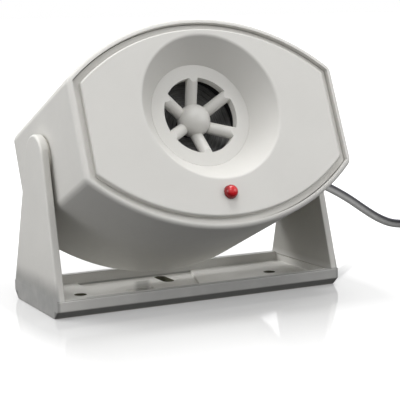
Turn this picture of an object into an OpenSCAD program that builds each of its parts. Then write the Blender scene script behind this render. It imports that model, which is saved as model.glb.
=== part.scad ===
// Horn siren in a tilting barrel-shaped head, on a U-shaped table or wall bracket.
// +X is to the right seen from the front, the front faces -Y, +Z is up.
// The origin is the middle of the bracket's underside.

/* [Bracket] */
// Length of the bracket across both arms
bracket_length = 115; // [113:0.5:120]
// Depth of the base from its front edge to its rear edge
bracket_depth = 46; // [42:0.5:52]
// Height of the rim round the base
rim_height = 6.7; // [6:0.1:7.5]
// Thickness of the front and rear rims
rim_thickness = 2.8; // [2:0.1:3.5]
// Depth of the bevel under the front and rear rims
bevel_depth = 3.4; // [2:0.1:4]
// Height of the bevel under the front and rear rims
bevel_height = 3; // [2:0.1:3.5]
// Wall thickness of the arms
arm_thickness = 3; // [2.6:0.1:3.4]
// Lean of each arm towards the head, in degrees
arm_lean = 1.2; // [0.9:0.1:1.3]
// Radius of the rounded arm tips
arm_tip_radius = 8.8; // [8:0.1:10]

/* [Base floor] */
// Height of the floor's upper level, round the screw holes
floor_high = 3.2; // [2.8:0.1:3.6]
// Height of the floor's lower level, in the middle
floor_low = 2.4; // [2:0.1:2.7]
// Distance between the two screw holes
screw_spacing = 80; // [76:0.5:84]
// Radius of the screw holes
screw_hole_radius = 2.25; // [1.5:0.05:2.5]

/* [Tilt] */
// Height of the tilt axis above the table
pivot_height = 54.4; // [53.5:0.1:58]
// Upward tilt of the head as it stands, in degrees
tilt = 23; // [20:0.5:26]
// Radius of the pivot pins
pivot_radius = 3; // [2.5:0.1:3.5]

/* [Head] */
// Width of the head
head_width = 104.8; // [103:0.1:105]
// Height of the head in the middle
head_height = 78.4; // [76:0.1:80]
// Height of the head's straight sides
side_height = 36.6; // [34:0.1:40]
// Drop of the head's centre below the tilt axis
head_drop = 1; // [0:0.1:2]
// Distance from the tilt axis to the front edge
head_front = 35.5; // [34:0.1:36]
// Distance from the tilt axis to the rear face
head_rear = 29.9; // [29:0.1:31]
// Rounding of the head's four long edges
corner_radius = 4; // [2:0.5:5]
// Wall thickness of the housing
wall = 2.4; // [2.2:0.1:2.6]

/* [Front panel] */
// Width of the raised rim round the panel
rim_width = 1.9; // [1.6:0.1:2.2]
// Width of the sunken channel between the rim and the panel
channel_width = 2.5; // [2:0.1:3]
// Depth of the channel below the rim
channel_depth = 1.8; // [1.4:0.1:2]
// Rounding of the panel's four corners
panel_corner_radius = 1.6; // [1:0.2:2.4]
// How far the panel stands in front of the rim
panel_proud = 0.4; // [0.2:0.1:0.6]
// Height of the horn's axis above the tilt axis
horn_height = 4.7; // [3.5:0.1:5.5]
// Radius of the horn's mouth
mouth_radius = 26.8; // [26:0.1:27.5]
// Radius of the horn's throat
throat_radius = 19.3; // [19:0.1:20]
// Depth of the horn from the rim's front
horn_depth = 9.8; // [9:0.1:10.5]
// Rounding of the horn's lip
lip_radius = 1.4; // [0.8:0.1:1.8]
// Depth of the light below the tilt axis
light_drop = 27.3; // [27:0.1:28]

/* [Grille] */
// Radius of the grille's opening
grille_radius = 14.3; // [13.5:0.1:14.5]
// Radius of the round spokes
spoke_radius = 2.2; // [1.8:0.1:2.4]
// Number of spokes
spoke_count = 6; // [4:1:8]
// How far a spoke comes forward for each millimetre outwards
spoke_slope = 0.585; // [0.5:0.005:0.65]
// Radius of the ball in the middle
hub_radius = 6.1; // [5.6:0.1:6.6]
// Depth of the ball's centre behind the rim's front
hub_depth = 16.4; // [15.5:0.1:17]

/* [Cord] */
// Diameter of the cord
cord_diameter = 4; // [3.6:0.1:4.4]
// Length of the strain relief behind the housing
relief_length = 18; // [15:0.5:20]

/* [Hidden] */

$fn = 96;
shell_white = "#d9d8d2";
fit = 0.05;
slit = 0.25;
overlap = 0.5;
through = 1;

// Bracket
half_length = bracket_length / 2;
half_depth = bracket_depth / 2;
arm_foot = rim_height - overlap;
seam = 0.02;
pad_step_x = 33.5;
pad_step_right_front = 1;
pad_step_right_rear = 15;
slot_radius = 2.2;
slot_front = 9;
slot_rear = 16.5;
recess_left = -21.5;
recess_right = -10;
recess_front = -17.5;
recess_rear = 2;
recess_depth = 0.8;
washer_radius = 8;
washer_thickness = 0.8;
washer_gap = 0.08;

// Head outline
half_width = head_width / 2;
half_height = head_height / 2;
arch_rise = half_height - side_height / 2;
arch_radius = (half_width * half_width + arch_rise * arch_rise) / (2 * arch_rise);
arch_centre = half_height - arch_radius;
channel_inset = rim_width + slit;
panel_inset = rim_width + channel_width;

// Head depths along its own Y axis
rim_y = -head_front;
panel_y = rim_y - panel_proud;
flange_y = rim_y + channel_depth;
flange_back = flange_y + 2;
seal_back = flange_back + 0.8;
ledge_back = seal_back + 2;
throat_y = rim_y + horn_depth;
throat_back = throat_y + 3.2;
inside_back = head_rear - wall;
panel_wall = 2.2;

// Pivot
washer_x = half_width + washer_gap;
pin_end_x = half_width - 5;
pivot_boss_radius = 6.2;
pivot_boss_x = pin_end_x - 1.2;

// Screws that join the housing and the panel
column_x = 38;
column_z = 16;
column_radius = 4.6;
column_bore = 3.4;
column_floor_y = 6;
column_end_y = 4;
panel_post_radius = 3.4;
shank_radius = 1.5;
shank_end_y = -8;

// Horn driver
driver_flange_radius = 28.5;
driver_flange_y = throat_back + 0.1;
driver_flange_back = driver_flange_y + 2;
driver_radius = 21;
driver_back = -8;
diaphragm_y = -14.4;
driver_throat_radius = 17.6;
driver_bore = 18.6;
driver_screw_circle = 25.4;
driver_boss_radius = 3;
driver_pilot = 1.17;
driver_pilot_depth = 8;
driver_cap_thickness = 2;
terminal_x = 6;
terminal_length = 8;

// Light
light_radius = 2.5;
light_flange_radius = 2.95;
light_flange_thickness = 1;
light_dome_y = panel_y - 0.4;
lead_x = 1.27;
lead_length = 7;
light_back = panel_y + panel_wall + light_flange_thickness;

// Circuit board
board_width = 65;
board_height = 34;
board_z = -3;
board_front = 14.4;
board_back = 16;
board_post_x = 30;
board_post_z = 14;
board_post_radius = 3;
board_screw_depth = 7;
board_screw_pilot = 1.02;
pin_pitch = 2.54;
socket_size = [6.4, 5, 4.4];
light_socket = [20, -15];
driver_socket = [-17.5, -4.6];
power_socket = [20, 11];
core_x = 14;
core_reach = 7;
core_height = 11;
window_reach = [4.5, 4.6];
limb_reach = [2.5, 2.8];
wire_radius = 0.6;
wire_x = 1.25;

// Cord
cord_radius = cord_diameter / 2;
exit_x = 22;
exit_z = 22;
relief_tip_y = head_rear + relief_length;
relief_hole = 3.6;
clamp_post_x = 7;
clamp_post_drop = 3;
clamp_post_radius = 2.4;
clamp_back = inside_back - 5;
clamp_thickness = 2;
exit_gap = 0.3;
rest_z = 2.1;
coil_x = 184;
coil_y = 46;
coil_inner = 16;
coil_columns = 3;
coil_layers = 4;
tail_x = coil_x + coil_inner + (coil_columns - 0.5) * cord_diameter;
tail_top = rest_z + (coil_layers - 1) * cord_diameter;
plug_axis_z = 5.1;
plug_start_y = 13;
plug_relief_length = 14;
plug_body_length = 21;

function unit(v) = v / norm(v);
function from_head(p) = [
    p[0],
    p[1] * cos(tilt) + p[2] * sin(tilt),
    pivot_height - p[1] * sin(tilt) + p[2] * cos(tilt)
];

// The cord leaves along the relief, bows down behind the head and lands on the table to its right.
cord_route = concat(
    [
        from_head([exit_x, relief_tip_y + exit_gap, exit_z]),
        from_head([exit_x, relief_tip_y + 9, exit_z])
    ],
    [
        [24, 69.5, 49], [29.5, 76.5, 46.4], [38, 81, 44], [49, 83, 41.8], [61, 83.5, 39.6], [73, 83, 37.3],
        [85, 82, 34.6], [96, 80.5, 31.2], [106, 79, 27.3], [114, 78, 23.7], [121, 77, 20], [128, 76, 15.7],
        [135, 75, 10.8], [142, 74, 6.3], [149, 73.2, 3.2], [156, 72.5, rest_z], [162, 72.1, rest_z],
        [169, 72, rest_z], [176, 72, rest_z]
    ]
);

// From the coil's top layer the cord comes down to the plug.
tail_route = [
    [tail_x, 38, tail_top], [tail_x, 33, tail_top - 1], [tail_x, 28, 10.4], [tail_x, 23, 7.5],
    [tail_x, 18, 5.7], [tail_x, plug_start_y, plug_axis_z]
];

// A smooth line through points, with steps pieces between each two
function between(a, b, c, d, t) =
    0.5 * (2 * b + (c - a) * t + (2 * a - 5 * b + 4 * c - d) * t * t + (3 * b - a - 3 * c + d) * t * t * t);
function smooth(points, steps) =
    let (last = len(points) - 1)
    concat(
        [
            for (i = [0 : last - 1])
                for (k = [0 : steps - 1])
                    between(
                        points[max(i - 1, 0)], points[i], points[i + 1], points[min(i + 2, last)], k / steps
                    )
        ],
        [points[last]]
    );

// A round tube along points, whose direction never comes near to up
module tube(points, radius, sides = 8, up = [0, 0, 1]) {
    last = len(points) - 1;
    corners = [
        for (i = [0 : last])
            let (
                ahead = unit(points[min(i + 1, last)] - points[max(i - 1, 0)]),
                side = unit(cross(ahead, up)),
                over = cross(side, ahead)
            )
            for (k = [0 : sides - 1])
                points[i] + radius * (cos(360 * k / sides) * side + sin(360 * k / sides) * over)
    ];
    walls = [
        for (i = [0 : last - 1])
            for (k = [0 : sides - 1])
                let (next = (k + 1) % sides)
                [i * sides + k, i * sides + next, (i + 1) * sides + next, (i + 1) * sides + k]
    ];
    near_end = [for (k = [sides - 1 : -1 : 0]) k];
    far_end = [for (k = [0 : sides - 1]) last * sides + k];
    polyhedron(points = corners, faces = concat(walls, [near_end, far_end]), convexity = 6);
}

// Places children in the head's own frame: the tilt axis is its X axis and the face looks along -Y
module in_head() {
    translate([0, 0, pivot_height]) rotate([-tilt, 0, 0]) children();
}

// A flat shape in X and Z, thick from front to back
module slab(front, back) {
    translate([0, back, 0]) rotate([90, 0, 0]) linear_extrude(back - front) children();
}

// A round bar along Y
module bar(x, z, front, back, radius) {
    translate([x, front, z]) rotate([-90, 0, 0]) cylinder(h = back - front, r = radius);
}

// A profile of radius and depth turned about an axis along Y
module turned(x, z) {
    translate([x, 0, z]) rotate([-90, 0, 0]) rotate_extrude() children();
}

// A block from its lowest to its highest corner
module block(low, high) {
    translate(low) cube(high - low);
}

// What a rounding takes off a corner, from the rounding's centre: the corner's two sides are touched
// at angle 0 and at angle turn
function corner_cut(radius, turn) =
    let (
        steps = 8,
        run_out = 3,
        arc = [for (i = [0 : steps]) radius * [cos(turn * i / steps), sin(turn * i / steps)]]
    )
    concat(
        [arc[0] - run_out * (arc[1] - arc[0])],
        [for (i = [1 : steps - 1]) arc[i]],
        [arc[steps] + run_out * (arc[steps] - arc[steps - 1]), 4 * radius * [1, 1]]
    );

// The head's outline, with arched top and bottom, moved in by inset and rounded at its four corners
module barrel(inset, rounding = 0) {
    side_x = half_width - inset;
    arch = arch_radius - inset;
    corner_x = side_x - rounding;
    corner_rise = sqrt((arch - rounding) * (arch - rounding) - corner_x * corner_x);
    translate([0, -head_drop]) difference() {
        intersection() {
            square([2 * side_x, head_height], center = true);
            translate([0, arch_centre]) circle(arch, $fn = 240);
            translate([0, -arch_centre]) circle(arch, $fn = 240);
        }
        if (rounding > 0)
            for (x = [0, 1]) for (z = [0, 1])
                mirror([x, 0]) mirror([0, z]) translate([corner_x, arch_centre + corner_rise])
                    polygon(corner_cut(rounding, atan2(corner_rise, corner_x)));
    }
}

// Bracket ----------------------------------------------------------------

// The side view of an arm from its foot up: straight edges that run to a round tip
module arm_side() {
    foot = half_depth - seam;
    rise = pivot_height - arm_foot;
    reach = norm([foot, rise]);
    bend = atan2(rise, -foot) - asin(arm_tip_radius / reach);
    edge = sqrt(reach * reach - arm_tip_radius * arm_tip_radius);
    tip_y = foot + edge * cos(bend);
    tip_z = edge * sin(bend);
    translate([0, rise]) circle(arm_tip_radius);
    polygon([[foot, 0], [tip_y, tip_z], [-tip_y, tip_z], [-foot, 0]]);
}

// The right arm, which leans over the base's end, with the boss and the pin that carry the head
module arm() {
    translate([half_length - seam, 0, arm_foot]) rotate([0, -arm_lean, 0]) rotate([90, 0, 90])
        translate([0, 0, -arm_thickness]) linear_extrude(arm_thickness) arm_side();
    translate([washer_x + washer_thickness, 0, pivot_height]) rotate([0, 90, 0])
        cylinder(h = arm_thickness - overlap, r = washer_radius);
    translate([pin_end_x, 0, pivot_height]) rotate([0, 90, 0])
        cylinder(h = half_width + arm_thickness - pin_end_x, r = pivot_radius);
}

module base_side() {
    polygon([
        [-half_depth + bevel_depth, 0], [half_depth - bevel_depth, 0], [half_depth, bevel_height],
        [half_depth, rim_height], [-half_depth, rim_height], [-half_depth, bevel_height]
    ]);
}

module keyhole_slot() {
    for (y = [slot_front, slot_rear]) translate([0, y, -through]) cylinder(h = rim_height, r = slot_radius);
    block([-slot_radius, slot_front, -through], [slot_radius, slot_rear, rim_height]);
}

// The base: a shallow tray with a floor on two levels
module tray() {
    inside_y = half_depth - rim_thickness;
    inside_x = half_length - arm_thickness;
    difference() {
        translate([-half_length, 0, 0]) rotate([90, 0, 90]) linear_extrude(bracket_length) base_side();
        block([-inside_x, -inside_y, floor_high], [inside_x, inside_y, rim_height + through]);
        translate([0, 0, floor_low]) linear_extrude(rim_height) polygon([
            [-pad_step_x, -inside_y], [pad_step_right_front, -inside_y],
            [pad_step_right_rear, inside_y], [-pad_step_x, inside_y]
        ]);
        block([recess_left, recess_front, floor_low - recess_depth], [recess_right, recess_rear, rim_height]);
    }
}

module bracket() {
    color(shell_white) difference() {
        union() {
            tray();
            arm();
            mirror([1, 0, 0]) arm();
        }
        for (x = [-screw_spacing / 2, screw_spacing / 2])
            translate([x, 0, -through]) cylinder(h = rim_height, r = screw_hole_radius);
        keyhole_slot();
    }
}

module friction_washers() {
    color("#c9c8c1") for (side = [-1, 1])
        translate([side * (washer_x + washer_thickness / 2), 0, pivot_height]) rotate([0, 90, 0])
            difference() {
                cylinder(h = washer_thickness, r = washer_radius, center = true);
                cylinder(h = washer_thickness + through, r = pivot_radius + fit, center = true);
            }
}

// Housing ----------------------------------------------------------------

// Puts children at the four screw columns
module at_columns() {
    for (x = [-column_x, column_x])
        for (z = [-column_z, column_z]) translate([x, 0, z - head_drop]) children();
}

// Puts children at the four board posts
module at_board_posts() {
    for (x = [-board_post_x, board_post_x])
        for (z = [-board_post_z, board_post_z]) translate([x, 0, z + board_z]) children();
}

// Puts children at the two posts of the cord clamp
module at_clamp_posts() {
    for (side = [-1, 1]) translate([exit_x + side * clamp_post_x, 0, exit_z - clamp_post_drop]) children();
}

// Puts children at the horn driver's four screws
module at_driver_screws() {
    for (angle = [45 : 90 : 315])
        translate([driver_screw_circle * cos(angle), 0, horn_height + driver_screw_circle * sin(angle)])
            children();
}

module rear_housing() {
    color(shell_white) in_head() difference() {
        union() {
            difference() {
                slab(rim_y, head_rear) barrel(0, corner_radius);
                slab(rim_y - through, seal_back) barrel(rim_width);
                slab(seal_back - through, ledge_back + through) barrel(panel_inset);
                slab(ledge_back, inside_back) barrel(wall);
            }
            for (side = [-1, 1])
                translate([side * (half_width - overlap), 0, 0]) rotate([0, -side * 90, 0])
                    cylinder(h = half_width - overlap - pivot_boss_x, r = pivot_boss_radius);
            at_columns() bar(0, 0, column_end_y, inside_back + overlap, column_radius);
            at_board_posts() bar(0, 0, board_back, inside_back + overlap, board_post_radius);
            at_clamp_posts() bar(0, 0, clamp_back, inside_back + overlap, clamp_post_radius);
        }
        for (side = [-1, 1])
            translate([side * pin_end_x, 0, 0]) rotate([0, side * 90, 0]) translate([0, 0, -0.3])
                cylinder(h = half_width, r = pivot_radius + fit);
        at_columns() {
            bar(0, 0, column_floor_y, head_rear + through, column_bore);
            bar(0, 0, column_end_y - through, column_floor_y + through, shank_radius + 0.2);
        }
        at_board_posts()
            bar(0, 0, board_back - through, board_back + board_screw_depth, board_screw_pilot);
        at_clamp_posts() bar(0, 0, clamp_back - through, inside_back + overlap, 0.92);
        bar(exit_x, exit_z, inside_back - through, head_rear + through, relief_hole);
    }
}

module housing_seal() {
    color("#3c3d3e") in_head() slab(flange_back, seal_back) difference() {
        barrel(rim_width + 2 * slit);
        barrel(panel_inset);
    }
}

// The horn's lip from the panel's face to the cone, as points of radius and depth on a rounding
function horn_lip() =
    let (
        slope = atan2(throat_y - panel_y, mouth_radius - throat_radius),
        reach = lip_radius * tan(slope / 2),
        centre = [mouth_radius + reach, panel_y + lip_radius],
        steps = 5
    )
    concat(
        [[centre[0] + through, panel_y - through]],
        [for (i = [0 : steps]) centre - lip_radius * [sin(slope * i / steps), cos(slope * i / steps)]]
    );

module front_panel() {
    color(shell_white) in_head() difference() {
        union() {
            slab(flange_y, flange_back) barrel(channel_inset);
            slab(panel_y, flange_back) barrel(panel_inset, panel_corner_radius);
            turned(0, horn_height) polygon([
                [0, panel_y + overlap], [mouth_radius + panel_wall, panel_y + overlap],
                [throat_radius + panel_wall, throat_y - panel_wall],
                [throat_radius + panel_wall, throat_back], [0, throat_back]
            ]);
            at_columns() bar(0, 0, flange_back - overlap, column_end_y - 0.2, panel_post_radius);
            at_driver_screws() bar(0, 0, flange_back - overlap, throat_back, driver_boss_radius);
        }
        // Hollow behind the panel, round the horn
        difference() {
            slab(panel_y + panel_wall, flange_back + through) barrel(panel_inset + panel_wall);
            bar(0, horn_height, panel_y, flange_back + 2 * through, mouth_radius + panel_wall);
            at_columns() bar(0, 0, panel_y, flange_back + 2 * through, panel_post_radius);
            at_driver_screws() bar(0, 0, panel_y, throat_back, driver_boss_radius);
        }
        turned(0, horn_height) polygon(concat(
            [[0, throat_back + through], [0, panel_y - through]],
            horn_lip(),
            [[throat_radius, throat_y], [throat_radius, throat_back + through]]
        ));
        at_columns() bar(0, 0, shank_end_y - through, column_end_y, shank_radius + 0.02);
        at_driver_screws()
            bar(0, 0, throat_back - driver_pilot_depth, throat_back + through, driver_pilot);
        bar(0, -light_drop, panel_y - through, flange_back, light_radius + fit);
    }
}

// Grille -----------------------------------------------------------------

module spoke(angle) {
    converge_y = rim_y + 19.8;
    lean = atan(spoke_slope);
    length = (grille_radius + 1.5) / cos(lean);
    translate([0, converge_y, horn_height]) rotate([0, -angle, 0]) rotate([0, 0, -lean])
        rotate([0, 90, 0]) cylinder(h = length, r = spoke_radius, $fn = 48);
}

module grille() {
    color("#d4d4ce") in_head() {
        difference() {
            bar(0, horn_height, throat_y, throat_back, throat_radius - fit);
            bar(0, horn_height, throat_y - through, throat_back + through, grille_radius);
        }
        difference() {
            union() {
                for (i = [0 : spoke_count - 1]) spoke(90 + i * 360 / spoke_count);
                translate([0, rim_y + hub_depth, horn_height]) sphere(hub_radius);
            }
            // Flush with the ring's front, apart from the ball
            difference() {
                bar(0, horn_height, rim_y - 5, throat_y, throat_radius);
                bar(0, horn_height, rim_y - 6, throat_y + through, hub_radius);
            }
        }
    }
}

// Light ------------------------------------------------------------------

module status_light() {
    color("#c9202c") in_head() turned(0, -light_drop) intersection() {
        union() {
            translate([0, light_dome_y]) circle(light_radius);
            translate([0, light_dome_y]) square([light_radius, panel_y + panel_wall - light_dome_y]);
            translate([0, panel_y + panel_wall]) square([light_flange_radius, light_flange_thickness]);
        }
        translate([0, light_dome_y - light_radius]) square(4 * light_radius);
    }
}

module light_leads() {
    color("#b8b8b8") in_head() for (side = [-1, 1])
        bar(side * lead_x, -light_drop, light_back, light_back + lead_length, 0.3);
}

module light_wires() {
    front = light_back + lead_length;
    color("#b23a34") in_head() for (side = [-1, 1])
        tube(
            smooth(
                [
                    [side * lead_x, front, -light_drop], [side * 1.6, front + 8, -light_drop],
                    [side * 1.8 + 3, -5, -light_drop + 2], [side * 1.5 + 14, 4, light_socket[1] - 1],
                    [side * wire_x + light_socket[0], board_front - socket_size[1], light_socket[1]]
                ], 5
            ),
            wire_radius
        );
}

// Horn driver ------------------------------------------------------------

module horn_driver_frame() {
    color("#2d2e30") in_head() difference() {
        union() {
            bar(0, horn_height, driver_flange_y, driver_flange_back, driver_flange_radius);
            bar(0, horn_height, driver_flange_y, driver_back, driver_radius);
        }
        turned(0, horn_height) polygon([
            [0, driver_flange_y - through], [driver_throat_radius, driver_flange_y - through],
            [driver_throat_radius, diaphragm_y], [driver_bore, diaphragm_y],
            [driver_bore, driver_back + through], [0, driver_back + through]
        ]);
        at_driver_screws() bar(0, 0, driver_flange_y - through, driver_flange_back + through, 1.5);
    }
}

// A shallow paper cone with pressed rings
module diaphragm() {
    rim = driver_bore - 0.2;
    eye = 4;
    ring_count = 7;
    front = diaphragm_y + 0.02;
    drop = 2.5;
    thickness = 0.6;
    function cone(k) =
        let (share = k / (2 * ring_count))
        [rim - 1.2 - (rim - 1.2 - eye) * share, front + drop * share + (k % 2 == 0 ? 0 : 0.35)];
    line = [for (k = [0 : 2 * ring_count]) cone(k)];
    back = [for (k = [2 * ring_count : -1 : 0]) cone(k) + [0, thickness]];
    color("#3a3a3c") in_head() turned(0, horn_height)
        polygon(concat([[rim, front]], line, back, [[rim, front + thickness]]));
}

module piezo_disc() {
    front = diaphragm_y + 3.35;
    color("#b99a52") in_head() {
        bar(0, horn_height, front, front + 0.6, 10);
        bar(0, horn_height, front + 0.6, front + 1.1, 7);
        bar(0, horn_height, front - 1.2, front, 3.6);
    }
}

module driver_cap() {
    color("#2d2e30") in_head() difference() {
        union() {
            bar(0, horn_height, driver_back + 0.02, driver_back + driver_cap_thickness, driver_radius);
            difference() {
                bar(0, horn_height, driver_back - 4, driver_back + 0.02, 18.5);
                bar(0, horn_height, driver_back - 5, driver_back + 0.02, 16.5);
            }
        }
        for (side = [-1, 1]) terminal(side, 0.02);
    }
}

// One blade of the driver, which passes through the cap
module terminal(side, gap) {
    block(
        [side * terminal_x - 1.4 - gap, driver_back - 1.5, horn_height - 0.4 - gap],
        [side * terminal_x + 1.4 + gap, driver_back + terminal_length, horn_height + 0.4 + gap]
    );
}

module driver_terminals() {
    color("#c8c8c4") in_head() for (side = [-1, 1]) terminal(side, 0);
}

module driver_screws() {
    color("#8e8f90") in_head() at_driver_screws()
        pan_screw(driver_flange_back, 2.5, 1.6, 1.15, throat_back - 6);
}

// A screw seen from behind: its head lies against seat, and its shank runs forward to tip
module pan_screw(seat, head_radius, head_height, shank, tip) {
    difference() {
        union() {
            bar(0, 0, seat, seat + head_height, head_radius);
            bar(0, 0, tip, seat, shank);
        }
        back = seat + head_height;
        for (turn = [0, 90]) rotate([0, turn, 0])
            block([-head_radius * 0.6, back - 0.8, -0.25], [head_radius * 0.6, back + 1, 0.25]);
    }
}

module driver_wires() {
    front = driver_back + terminal_length;
    color("#8f2f2a") in_head() for (side = [-1, 1])
        tube(
            smooth(
                [
                    [side * terminal_x, front, horn_height],
                    [side * terminal_x - 2, front + 4, horn_height - 1],
                    [side * 4 - 10, front + 6.5, 0],
                    [side * wire_x + driver_socket[0], board_front - socket_size[1], driver_socket[1]]
                ], 5
            ),
            wire_radius
        );
}

// Circuit board ----------------------------------------------------------

module circuit_board() {
    color("#2f6a45") in_head() difference() {
        block(
            [-board_width / 2, board_front, board_z - board_height / 2],
            [board_width / 2, board_back - 0.02, board_z + board_height / 2]
        );
        at_board_posts() bar(0, 0, board_front - through, board_back + through, 1.4);
    }
}

module board_screws() {
    color("#8e8f90") in_head() at_board_posts() mirror([0, 1, 0])
        pan_screw(-board_front, 2.1, 1.3, 1, -board_back - 6);
}

// An eight-pin chip below the transformer
module driver_chip() {
    low = -16;
    high = -9.6;
    stand_off = 0.6;
    color("#26272a") in_head()
        block([-5, board_front - stand_off - 3, low], [5, board_front - stand_off, high]);
    color("#c0c0c0") in_head() for (i = [0 : 3]) for (z = [low - 0.5, high])
        block([pin_pitch * i - 4.2, board_front - 2.2, z], [pin_pitch * i - 3.6, board_front, z + 0.5]);
}

module capacitors() {
    // X, Z, height and radius of each can
    cans = [[-23, 6, 11.5, 4], [-14, 7, 8, 2.5], [26, 0, 7.5, 2.5]];
    color("#2b3550") in_head() for (can = cans)
        bar(can[0], can[1], board_front - can[2], board_front, can[3]);
}

// A square ring about the transformer's middle limb, which reaches so far in X and in Z
module limb_ring(outer, inner, front, back) {
    difference() {
        block([core_x - outer[0], front, -outer[1]], [core_x + outer[0], back, outer[1]]);
        block([core_x - inner[0], front - through, -inner[1]], [core_x + inner[0], back + through, inner[1]]);
    }
}

module transformer_core() {
    color("#4a4744") in_head() difference() {
        block(
            [core_x - core_reach, board_front - core_height, -core_reach],
            [core_x + core_reach, board_front, core_reach]
        );
        limb_ring(window_reach, limb_reach, board_front - core_height - through, board_front - 2);
    }
}

module transformer_winding() {
    loose = [0.1, 0.1];
    color("#b5652f") in_head()
        limb_ring(
            window_reach - loose, limb_reach + loose / 2, board_front - core_height + 1, board_front - 2.1
        );
}

// A transistor on three legs, whose tab lies against the heat sink
module power_transistor() {
    leg = 4;
    color("#26272a") in_head() block([-32, board_front - leg - 9, -6.1], [-22.5, board_front - leg, -1.6]);
    color("#c0c0c0") in_head() for (i = [0 : 2])
        block([pin_pitch * i - 30.2, board_front - leg, -4.3], [pin_pitch * i - 29.4, board_front, -3.7]);
}

// An upright plate with fins above the transistor
module heat_sink() {
    front = board_front - 14;
    fin_pitch = 4.6;
    color("#a9abad") in_head() {
        block([-32.5, front, -1.55], [-21.5, board_front, -0.2]);
        for (i = [0 : 2]) block([fin_pitch * i - 32, front, -0.3], [fin_pitch * i - 31, board_front, 1.3]);
    }
}

module resistors() {
    pitch = 3.2;
    color("#c7ad84") in_head() for (i = [0 : 4])
        translate([pitch * i - 8, board_front - 1.25, 10.5]) {
            cylinder(h = 6.2, r = 1.1, center = true);
            for (z = [-3, 3]) translate([0, 0, z]) cylinder(h = 3, r = 0.3, center = true);
        }
}

// The two-pin sockets for the light, the driver and the power wires
module board_sockets() {
    reach_x = socket_size[0] / 2;
    reach_z = socket_size[2] / 2;
    color("#e4e2d8") in_head() for (place = [light_socket, driver_socket, power_socket])
        block(
            [place[0] - reach_x, board_front - socket_size[1], place[1] - reach_z],
            [place[0] + reach_x, board_front, place[1] + reach_z]
        );
}

module housing_screws() {
    color("#8e8f90") in_head() at_columns() pan_screw(column_floor_y, 2.9, 2, shank_radius, shank_end_y);
}

// Cord -------------------------------------------------------------------

module strain_relief() {
    tip = relief_tip_y;
    rib_count = 4;
    rib_pitch = 3.4;
    color("#3b3d41") in_head() {
        turned(exit_x, exit_z) polygon([
            [cord_radius + 0.05, inside_back - 1.6], [4.8, inside_back - 1.6], [4.8, inside_back - 0.02],
            [relief_hole - 0.02, inside_back - 0.02], [relief_hole - 0.02, head_rear + 0.02],
            [4.6, head_rear + 0.02], [4.4, head_rear + 2], [3.1, tip - 1], [2.8, tip],
            [cord_radius + 0.05, tip]
        ]);
        turned(exit_x, exit_z) for (i = [0 : rib_count - 1])
            translate([cord_radius + 1, head_rear + 3.4 + i * rib_pitch]) square([2.1 - 0.3 * i, 1.5]);
    }
}

// The stretch of the cord's cores between the relief and the board
module power_wires() {
    color("#8f2f2a") in_head() for (side = [-1, 1])
        tube(
            smooth(
                [
                    [exit_x + side * 0.9, relief_tip_y - 4, exit_z],
                    [exit_x + side * 0.9, inside_back - 4, exit_z],
                    [exit_x + side * 1.1, inside_back - 9, exit_z - 0.6],
                    [25 + side * 1.2, board_back - 3, 17.4],
                    [21 + side * 1.2, board_front - 7, 13],
                    [power_socket[0] + side * 1.2, board_front - socket_size[1], power_socket[1]]
                ], 4
            ),
            0.8, 8, [1, 0, 0]
        );
}

module cord_clamp() {
    color(shell_white) in_head() difference() {
        block(
            [exit_x - 9.5, clamp_back - clamp_thickness, exit_z - 6],
            [exit_x + 9.5, clamp_back - 0.02, exit_z + 2]
        );
        bar(exit_x, exit_z, clamp_back - clamp_thickness - through, clamp_back, cord_radius + 0.1);
        at_clamp_posts() bar(0, 0, clamp_back - clamp_thickness - through, clamp_back, 1.1);
    }
}

module clamp_screws() {
    color("#8e8f90") in_head() at_clamp_posts() mirror([0, 1, 0])
        pan_screw(clamp_thickness - clamp_back, 1.8, 1.2, 0.9, -(clamp_back + 4));
}

module cord() {
    color("#3b3d41") tube(smooth(cord_route, 2), cord_radius);
}

module cord_coil() {
    color("#3b3d41") translate([coil_x, coil_y, 0]) rotate_extrude()
        translate([coil_inner, rest_z - cord_radius])
            square([coil_columns * cord_diameter, coil_layers * cord_diameter]);
}

module cord_tail() {
    color("#3b3d41") tube(smooth(tail_route, 2), cord_radius);
}

// Puts children in the plug's frame: its axis runs along -Y beside the coil
module along_plug(from) {
    translate([tail_x, plug_start_y - from, plug_axis_z]) rotate([90, 0, 0]) children();
}

module plug_relief() {
    color("#2c2d30") along_plug(0) rotate_extrude()
        polygon([[0, 0], [2.6, 0], [3.4, 12], [3.4, plug_relief_length], [0, plug_relief_length]]);
}

module plug_body() {
    color("#2c2d30") along_plug(plug_relief_length) rotate_extrude() polygon([
        [0, 0], [4.4, 0], [5, 1.2], [5, 17], [4.2, 20], [4.2, plug_body_length], [0, plug_body_length]
    ]);
}

module plug_barrel() {
    color("#c9c9c9") along_plug(plug_relief_length + plug_body_length) difference() {
        cylinder(h = 9.5, r = 2.75);
        translate([0, 0, -through]) cylinder(h = 12, r = 2.35);
    }
}

module plug_core() {
    color("#d8b44a") along_plug(plug_relief_length + plug_body_length) difference() {
        cylinder(h = 9.3, r = 2.33);
        translate([0, 0, 0.3]) cylinder(h = 12, r = 1.05);
    }
}

bracket();
friction_washers();
rear_housing();
housing_seal();
front_panel();
grille();
status_light();
light_leads();
light_wires();
horn_driver_frame();
diaphragm();
piezo_disc();
driver_cap();
driver_terminals();
driver_screws();
driver_wires();
circuit_board();
driver_chip();
capacitors();
transformer_core();
transformer_winding();
power_transistor();
heat_sink();
resistors();
board_sockets();
board_screws();
housing_screws();
power_wires();
cord_clamp();
clamp_screws();
strain_relief();
cord();
cord_coil();
cord_tail();
plug_relief();
plug_body();
plug_barrel();
plug_core();
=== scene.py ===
"""Looks of a horn siren on a tilting bracket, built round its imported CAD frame.

The scene is in metres, +Z is up and the siren faces -Y. Values in mm are multiplied by MM.
"""

import math

import bmesh
import bpy
from mathutils import Matrix, Vector


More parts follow.
